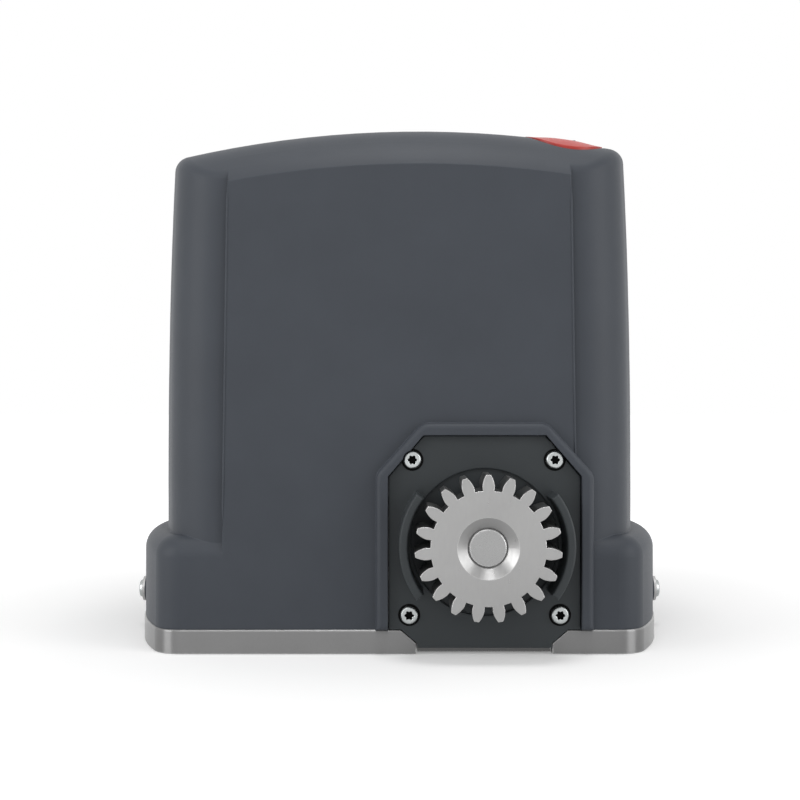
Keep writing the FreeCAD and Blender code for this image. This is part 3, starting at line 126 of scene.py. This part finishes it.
def finish_of(name, colour, rough=0.5, metal=0.0, grain=900.0, depth=0.00003, mottle=0.05,
              streak=(1.0, 1.0, 1.0), rough_spread=0.06, edge=0.0007, edge_light=0.25,
              specular=0.5, coat=0.0, glow=0.0, upright=0.0):
    """A worked surface: mottled colour, uneven roughness, fine relief and edges painted lighter as a
    highlight.

    glow is light scattered inside, upright is how far highlights are drawn out up and down.
    """
    made = bpy.data.materials.new(name)
    made.use_nodes = True
    tree = made.node_tree
    shader = tree.nodes["Principled BSDF"]
    shader.inputs["Metallic"].default_value = metal
    shader.inputs["Specular IOR Level"].default_value = specular
    shader.inputs["Coat Weight"].default_value = coat
    shader.inputs["Coat Roughness"].default_value = 0.1
    if upright:
        shader.inputs["Anisotropic"].default_value = upright
        shader.inputs["Anisotropic Rotation"].default_value = 0.25
        round_about = linked(tree, "ShaderNodeTangent", direction_type="RADIAL", axis="Z")
        tree.links.new(round_about.outputs["Tangent"], shader.inputs["Tangent"])
    shader.inputs["Subsurface Weight"].default_value = glow
    shader.inputs["Subsurface Radius"].default_value = (0.004, 0.001, 0.001)
    spot = linked(tree, "ShaderNodeTexCoord").outputs["Object"]
    stretch = linked(tree, "ShaderNodeMapping")
    stretch.inputs["Scale"].default_value = streak
    tree.links.new(spot, stretch.inputs["Vector"])
    fine = linked(tree, "ShaderNodeTexNoise", Scale=grain, Detail=4.0, Roughness=0.6)
    broad = linked(tree, "ShaderNodeTexNoise", Scale=MOTTLE_GRAIN, Detail=3.0, Roughness=0.55)
    tree.links.new(stretch.outputs["Vector"], fine.inputs["Vector"])
    tree.links.new(spot, broad.inputs["Vector"])
    both = linked(tree, "ShaderNodeMath", operation="ADD")
    tree.links.new(ramped(tree, broad.outputs["Fac"], -mottle, mottle), both.inputs[0])
    tree.links.new(ramped(tree, fine.outputs["Fac"], 1 - mottle * 0.8, 1 + mottle * 0.8), both.inputs[1])
    shade = linked(tree, "ShaderNodeVectorMath", operation="SCALE")
    shade.inputs[0].default_value = colour
    tree.links.new(both.outputs["Value"], shade.inputs["Scale"])
    soft = linked(tree, "ShaderNodeBevel", samples=4, Radius=edge)
    true = linked(tree, "ShaderNodeNewGeometry")
    facing = linked(tree, "ShaderNodeVectorMath", operation="DOT_PRODUCT")
    tree.links.new(soft.outputs["Normal"], facing.inputs[0])
    tree.links.new(true.outputs["Normal"], facing.inputs[1])
    # edges, where the bevelled normal turns away from the true one, are painted lighter by edge_light as a
    # highlight
    painted_edge_highlight = ramped(tree, facing.outputs["Value"], 1 + edge_light, 1.0, 0.86, 0.99)
    lit = linked(tree, "ShaderNodeVectorMath", operation="SCALE")
    tree.links.new(shade.outputs["Vector"], lit.inputs[0])
    tree.links.new(painted_edge_highlight, lit.inputs["Scale"])
    tree.links.new(lit.outputs["Vector"], shader.inputs["Base Color"])
    tree.links.new(ramped(tree, fine.outputs["Fac"], rough - rough_spread, rough + rough_spread),
                   shader.inputs["Roughness"])
    relief = linked(tree, "ShaderNodeBump", Strength=0.6, Distance=depth)
    tree.links.new(fine.outputs["Fac"], relief.inputs["Height"])
    tree.links.new(soft.outputs["Normal"], relief.inputs["Normal"])
    tree.links.new(relief.outputs["Normal"], shader.inputs["Normal"])
    return made


def grey(level, warm=0.0):
    return (level * (1 + warm), level, level * (1 - warm))


cover_plastic = finish_of("cover_plastic", (0.0455, 0.0515, 0.062), 0.50, grain=1400, depth=0.00004,
                          specular=0.25, edge=0.0012, edge_light=0.5)
cap_red = finish_of("cap_red", (0.44, 0.045, 0.036), 0.36, grain=600, depth=0.00001, edge_light=0.3,
                    glow=0.08, mottle=0.03, specular=0.3)
# the base's edges are painted far lighter as a highlight along them
base_aluminium = finish_of("base_aluminium", grey(0.205), 0.36, 1.0, grain=600, depth=0.000006, mottle=0.03,
                           edge=0.0012, edge_light=2.6, rough_spread=0.03, upright=0.9)
dark_cast = finish_of("dark_cast", (0.030, 0.035, 0.038), 0.5, grain=1100, depth=0.00006, edge=0.001,
                      edge_light=0.9, specular=0.3)
housing_cast = finish_of("housing_cast", grey(0.28), 0.55, 0.9, grain=700, depth=0.00012, mottle=0.1)
gear_steel = finish_of("gear_steel", grey(0.32, 0.004), 0.34, 1.0, grain=420, depth=0.000015, mottle=0.04,
                       streak=(1.0, 0.2, 0.35), edge=0.0007, edge_light=0.8, rough_spread=0.07)
# the shaft's chamfered edges are painted much lighter as a highlight
shaft_steel = finish_of("shaft_steel", grey(0.31), 0.30, 1.0, grain=2200, depth=0.00001, edge=0.0010,
                        edge_light=1.8)
# painted shade for the inside of the screw sockets
socket_shade = finish_of("socket_shade", grey(0.05), 0.5, 0.6, grain=900, depth=0.00001)
# near-black paint for the shadow round the plate screws
rim_shade = finish_of("rim_shade", grey(0.005), 0.8, grain=900, depth=0.00001, specular=0.05, edge_light=0.1)
zinc_screw = finish_of("zinc_screw", (0.42, 0.44, 0.44), 0.3, 1.0, grain=900, depth=0.00001, edge=0.0004,
                       edge_light=0.8)
bearing_steel = finish_of("bearing_steel", grey(0.5), 0.25, 1.0, grain=900, depth=0.000006)
bronze = finish_of("bronze", (0.50, 0.30, 0.13), 0.36, 1.0, grain=600, depth=0.00001)
seal_rubber = finish_of("seal_rubber", grey(0.018), 0.62, grain=1500, depth=0.00003, specular=0.3)
lock_metal = finish_of("lock_metal", (0.50, 0.48, 0.44), 0.28, 1.0, grain=800, depth=0.000008)
motor_paint = finish_of("motor_paint", grey(0.06), 0.4, 0.3, grain=900, depth=0.00002)
lamination = finish_of("lamination", grey(0.16), 0.5, 0.8, grain=1500, depth=0.00005,
                       streak=(0.05, 0.05, 3.0))
copper = finish_of("copper", (0.62, 0.26, 0.12), 0.34, 1.0, grain=1600, depth=0.00008, streak=(0.2, 0.2, 2.0))
magnet = finish_of("magnet", grey(0.035), 0.6, grain=900, depth=0.00004)
carbon = finish_of("carbon", grey(0.02), 0.7, grain=1300, depth=0.00004)
board_green = finish_of("board_green", (0.02, 0.13, 0.05), 0.35, grain=500, depth=0.00001, coat=0.2)
terminal_green = finish_of("terminal_green", (0.03, 0.30, 0.10), 0.42, grain=900, depth=0.00002)
component_black = finish_of("component_black", grey(0.02), 0.45, grain=1200, depth=0.00003)
bracket_steel = finish_of("bracket_steel", grey(0.42), 0.38, 1.0, grain=120, depth=0.00003, mottle=0.12)

WEARS = {
    cover_plastic: "cover", cap_red: "release_cap", base_aluminium: "base_casting",
    dark_cast: "gearbox_front_plate", housing_cast: "gearbox_housing motor_flange",
    gear_steel: "pinion", shaft_steel: "output_shaft worm_shaft shaft_keys release_rod fork_guide cap_pin",
    zinc_screw: "plate_screws cover_screws levelling_screws motor_bolts", bronze: "worm_wheel",
    bearing_steel: "output_bearings worm_bearings clutch_collar",
    seal_rubber: "shaft_seal cover_seal cable_grommet",
    lock_metal: "release_lock lock_barrel", motor_paint: "motor_can motor_end_cap", magnet: "motor_magnets",
    lamination: "armature_core transformer_core", copper: "armature_windings commutator transformer_coil",
    carbon: "motor_brushes", board_green: "control_board", terminal_green: "board_terminals",
    component_black: "board_components limit_sensor",
    bracket_steel: "board_bracket board_posts clutch_fork cover_washers",
}
for material, names in WEARS.items():
    for name in names.split():
        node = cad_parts[name]
        node.data.materials.clear()
        node.data.materials.append(material)


# ---------------------------------------------------------------- mesh helpers
def piece(name, mesh, *materials, body="frame"):
    """A finished mesh as an object that rides on a body of the frame."""
    data = bpy.data.meshes.new(name)
    mesh.to_mesh(data)
    mesh.free()
    made = bpy.data.objects.new(name, data)
    scene.collection.objects.link(made)
    for finish in materials:
        data.materials.append(finish)
    for face in data.polygons:
        face.use_smooth = True
    data.set_sharp_from_angle(angle=math.radians(SMOOTH_UNDER))
    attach(made, body)
    return made


def outwards(seat, out):
    """The turn and shift that stand a piece made along +Z on its seat, facing out."""
    return Matrix.Translation(seat) @ Vector((0, 0, 1)).rotation_difference(out).to_matrix().to_4x4()


def lathe(mesh, rings, turn):
    """Skins rings of (radius, height, six-lobed waviness) and closes both ends."""
    loops = []
    for radius, height, wave in rings:
        loop = []
        for i in range(ROUND_STEPS):
            angle = 2 * math.pi * i / ROUND_STEPS
            reach = radius * (1 + wave * math.cos(6 * angle))
            spot = Vector((reach * math.cos(angle), reach * math.sin(angle), height))
            loop.append(mesh.verts.new(turn @ spot))
        loops.append(loop)
    for lower, upper in zip(loops, loops[1:]):
        for i in range(ROUND_STEPS):
            j = (i + 1) % ROUND_STEPS
            mesh.faces.new((lower[i], lower[j], upper[j], upper[i]))
    mesh.faces.new(list(reversed(loops[0])))
    mesh.faces.new(loops[-1])


def parted(node, *axes):
    """The boxes of a node's solids, told apart by the side of the node's middle they lie on."""
    low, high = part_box(node)
    middle = (low + high) / 2
    groups = {}
    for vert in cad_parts[node].data.vertices:
        key = tuple(vert.co[axis] > middle[axis] for axis in axes)
        groups.setdefault(key, []).append(vert.co)
    boxes = []
    for spots in groups.values():
        boxes.append((Vector(min(s[i] for s in spots) for i in range(3)),
                      Vector(max(s[i] for s in spots) for i in range(3))))
    return boxes


def torx_head(mesh, seat, out, radius, tall, shank, long):
    """A pan head with a six-lobed socket painted dark as its shade, on a shank, its underside at the seat,
    facing out.
    """
    rings = [(shank, -long, 0), (shank, 0, 0), (radius * 0.97, 0, 0), (radius, tall * 0.08, 0),
             (radius, tall * 0.30, 0), (radius * 0.97, tall * 0.42, 0)]
    for step in range(1, 7):
        lean = math.radians(15 * step)
        rings.append((radius * (0.97 - 0.24 * (1 - math.cos(lean))),
                      tall * (0.42 + 0.58 * math.sin(lean)), 0))
    socket = radius * 0.44
    rings += [(radius * 0.62, tall, 0), (socket * 1.06, tall, 0.13), (socket, tall * 0.94, 0.15),
              (socket, tall * 0.2, 0.15), (socket * 0.5, tall * 0.16, 0.05)]
    lathe(mesh, rings, outwards(seat, out))
    mesh.faces.ensure_lookup_table()
    # the socket's faces take the second finish: dark paint standing in for the shade inside the recess
    for face in mesh.faces[-1 - 2 * ROUND_STEPS:]:
        face.material_index = 1


def surface(node):
    """A node's faces as a tree that rays can be cast at."""
    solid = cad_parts[node]
    return BVHTree.FromPolygons([solid.matrix_world @ vert.co for vert in solid.data.vertices],
                                [tuple(face.vertices) for face in solid.data.polygons])


def shade_ring(mesh, seat, out, inner, outer, tall):
    """A flat ring painted dark as the shadow in a screw's sink."""
    rings = [(inner, -tall, 0), (outer, -tall, 0), (outer, tall * 0.5, 0), (outer - tall * 0.5, tall, 0),
             (inner, tall, 0), (inner, tall * 0.2, 0)]
    lathe(mesh, rings, outwards(seat, out))


# ---------------------------------------------------------------- screws
TO_FRONT = Vector((0, -1, 0))
plate_heads, shade_rings = bmesh.new(), bmesh.new()
plate = surface("gearbox_front_plate")
for low, high in parted("plate_screws", 0, 2):
    middle = (low + high) / 2
    head = (high.x - low.x) / 2
    torx_head(plate_heads, Vector((middle.x, low.y + PLATE_HEAD_TALL, middle.z)), TO_FRONT,
              head + PLATE_HEAD_OVER, PLATE_HEAD_TALL, PLATE_SHANK, high.y - low.y - PLATE_HEAD_TALL)
    inwards = 1 if middle.z < SCREWS_PARTED else -1
    beside = Vector((middle.x, PROBE_FROM, middle.z + (head + SHADE_RING_PROBE) * inwards))
    face = plate.ray_cast(beside, -TO_FRONT)[0]
    shade_ring(shade_rings, Vector((middle.x, face.y, middle.z)), TO_FRONT,
              head + SHADE_RING_INNER, head + SHADE_RING_OUTER, SHADE_RING_TALL)
screws = piece("plate_screws_torx", plate_heads, zinc_screw, socket_shade)
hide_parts("plate_screws")

side_heads = bmesh.new()
for low, high in parted("cover_screws", 0):
    side = 1 if low.x > 0 else -1
    tip = high.x if side > 0 else low.x
    seat = Vector((tip - side * SIDE_HEAD_TALL, 0, (low.z + high.z) / 2))
    torx_head(side_heads, seat, Vector((side, 0, 0)), (high.z - low.z) / 2,
              SIDE_HEAD_TALL, SIDE_SHANK, high.x - low.x - SIDE_HEAD_TALL)
side_screws = piece("cover_screws_torx", side_heads, zinc_screw, socket_shade)
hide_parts("cover_screws")

# flat dark rings painted as the shadow in the plate screws' sinks
shade_ring_piece = piece("plate_screw_shade_rings", shade_rings, rim_shade)


# ---------------------------------------------------------------- red cap
def cap_lens():
    """The release cap with its face faded down to the crown at the rim, like a lens."""
    mesh = bmesh.new()
    mesh.from_mesh(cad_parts["release_cap"].data)
    top = surface("release_cap")
    low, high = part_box("release_cap")
    radius = (high.x - low.x) / 2
    middle = Vector(((low.x + high.x) / 2, low.y + radius, 0))
    for _ in range(3):
        long_edges = [edge for edge in mesh.edges if edge.calc_length() > CAP_MESH
                      and any(face.normal.z > 0.6 for face in edge.link_faces)]
        bmesh.ops.subdivide_edges(mesh, edges=long_edges, cuts=1)
        bmesh.ops.triangulate(mesh, faces=mesh.faces)
    for vert in mesh.verts:
        away = (Vector((vert.co.x, vert.co.y, 0)) - middle).length / radius
        inward = middle - vert.co
        inward.z = 0
        above = top.ray_cast(Vector((vert.co.x, vert.co.y, 1)) + inward * CAP_PROBE, Vector((0, 0, -1)))[0]
        if above and away < 1.001 and abs(above.z - vert.co.z) < CAP_SKIN:
            fade = min(1, max(0, (away - CAP_FADE_FROM) / (1 - CAP_FADE_FROM)))
            vert.co.z -= CAP_FADE * fade * fade * (3 - 2 * fade)
    return mesh


lens = piece("release_cap_lens", cap_lens(), cap_red, body="cap")
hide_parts("release_cap")


# ---------------------------------------------------------------- panel edge beads
def bead(name, side):
    """A slim half-round bead up one edge of the flat front panel, fading out at both ends."""
    mesh = bmesh.new()
    sections = []
    for step in range(BEAD_STEPS + 1):
        z = BEAD_FOOT + (BEAD_HEAD - BEAD_FOOT) * step / BEAD_STEPS
        across = side * (PANEL_HALF - PANEL_NARROWS * (z - PANEL_FOOT) / PANEL_TALL)
        size = BEAD_RADIUS * min(1.0, 6 * (1 - abs(2 * step / BEAD_STEPS - 1)) + 0.05)
        leans = [math.pi * k / BEAD_SIDES for k in range(BEAD_SIDES + 1)]
        face = PANEL_FACE + BEAD_SINK
        sections.append([mesh.verts.new((across + size * math.cos(lean), face - size * math.sin(lean), z))
                         for lean in leans])
    for lower, upper in zip(sections, sections[1:]):
        for k in range(BEAD_SIDES):
            mesh.faces.new((lower[k], lower[k + 1], upper[k + 1], upper[k]))
        mesh.faces.new((lower[-1], lower[0], upper[0], upper[-1]))
    mesh.faces.new(list(reversed(sections[0])))
    mesh.faces.new(sections[-1])
    bmesh.ops.recalc_face_normals(mesh, faces=mesh.faces)
    made = piece(name, mesh, cover_plastic)


bead("panel_bead_left", -1)
bead("panel_bead_right", 1)


# ---------------------------------------------------------------- studio
def looked_at(tree):
    """1 for rays of the camera, of reflections and through glass, 0 for rays that only carry light."""
    rays = linked(tree, "ShaderNodeLightPath")
    found = rays.outputs["Is Camera Ray"]
    for kind in ("Is Glossy Ray", "Is Transmission Ray"):
        either = linked(tree, "ShaderNodeMath", operation="MAXIMUM")
        tree.links.new(found, either.inputs[0])
        tree.links.new(rays.outputs[kind], either.inputs[1])
        found = either.outputs["Value"]
    return found


def stage_material():
    """White ground: its own shade plus a glow that only the camera and reflections see; the glow is weaker
    near the part, so the floor round it is painted darker as shadow.
    """
    made = bpy.data.materials.new("studio_floor")
    made.use_nodes = True
    tree = made.node_tree
    tree.nodes.clear()
    out = linked(tree, "ShaderNodeOutputMaterial")
    ground = linked(tree, "ShaderNodeBsdfDiffuse", Color=(0.8, 0.8, 0.8, 1))
    glow = linked(tree, "ShaderNodeEmission", Color=(1, 1, 1, 1))
    spot = linked(tree, "ShaderNodeTexCoord")
    away = linked(tree, "ShaderNodeVectorMath", operation="LENGTH")
    tree.links.new(spot.outputs["Object"], away.inputs[0])
    # glow grows with distance from the part: the dimmer floor close to it is painted shadow
    strength = ramped(tree, away.outputs["Value"], GLOW_NEAR, GLOW_FAR, GLOW_FROM, GLOW_TO)
    gated = linked(tree, "ShaderNodeMath", operation="MULTIPLY")
    tree.links.new(strength, gated.inputs[0])
    tree.links.new(looked_at(tree), gated.inputs[1])
    tree.links.new(gated.outputs["Value"], glow.inputs["Strength"])
    total = linked(tree, "ShaderNodeAddShader")
    tree.links.new(ground.outputs["BSDF"], total.inputs[0])
    tree.links.new(glow.outputs["Emission"], total.inputs[1])
    tree.links.new(total.outputs["Shader"], out.inputs["Surface"])
    return made


def build_world():
    """White all round: plain light on the object, full white for whoever looks at it."""
    world = bpy.data.worlds.new("studio_world")
    scene.world = world
    world.use_nodes = True
    tree = world.node_tree
    sky = tree.nodes["Background"]
    sky.inputs["Color"].default_value = (1, 1, 1, 1)
    tree.links.new(ramped(tree, looked_at(tree), WORLD_LIGHT, 1.0, 0.0, 1.0), sky.inputs["Strength"])


def soft_light(name, spot, aim, wide, tall, watts):
    """A rectangular lamp turned towards its aim."""
    data = bpy.data.lights.new(name, "AREA")
    data.energy = watts
    data.shape = "RECTANGLE"
    data.size = wide
    data.size_y = tall
    lamp = bpy.data.objects.new(name, data)
    lamp.location = spot
    lamp.rotation_euler = (Vector(aim) - Vector(spot)).to_track_quat("-Z", "Y").to_euler()
    scene.collection.objects.link(lamp)


ground_mesh = bmesh.new()
bmesh.ops.create_grid(ground_mesh, x_segments=2, y_segments=2, size=FLOOR_REACH)
ground_data = bpy.data.meshes.new("studio_ground")
ground_mesh.to_mesh(ground_data)
ground_mesh.free()
ground_data.materials.append(stage_material())
studio_ground = bpy.data.objects.new("studio_ground", ground_data)
scene.collection.objects.link(studio_ground)
studio_ground.location.z = cad_low.z - FLOOR_GAP
studio_ground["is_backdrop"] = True

build_world()
for lamp_facts in LAMPS:
    soft_light(*lamp_facts)

camera_data = bpy.data.cameras.new("camera")
camera_data.sensor_width = SENSOR
camera_data.lens = LENS
camera = bpy.data.objects.new("camera", camera_data)
camera.location = EYE
camera.rotation_euler = (math.radians(90), 0, 0)
scene.collection.objects.link(camera)
scene.camera = camera

low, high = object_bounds()
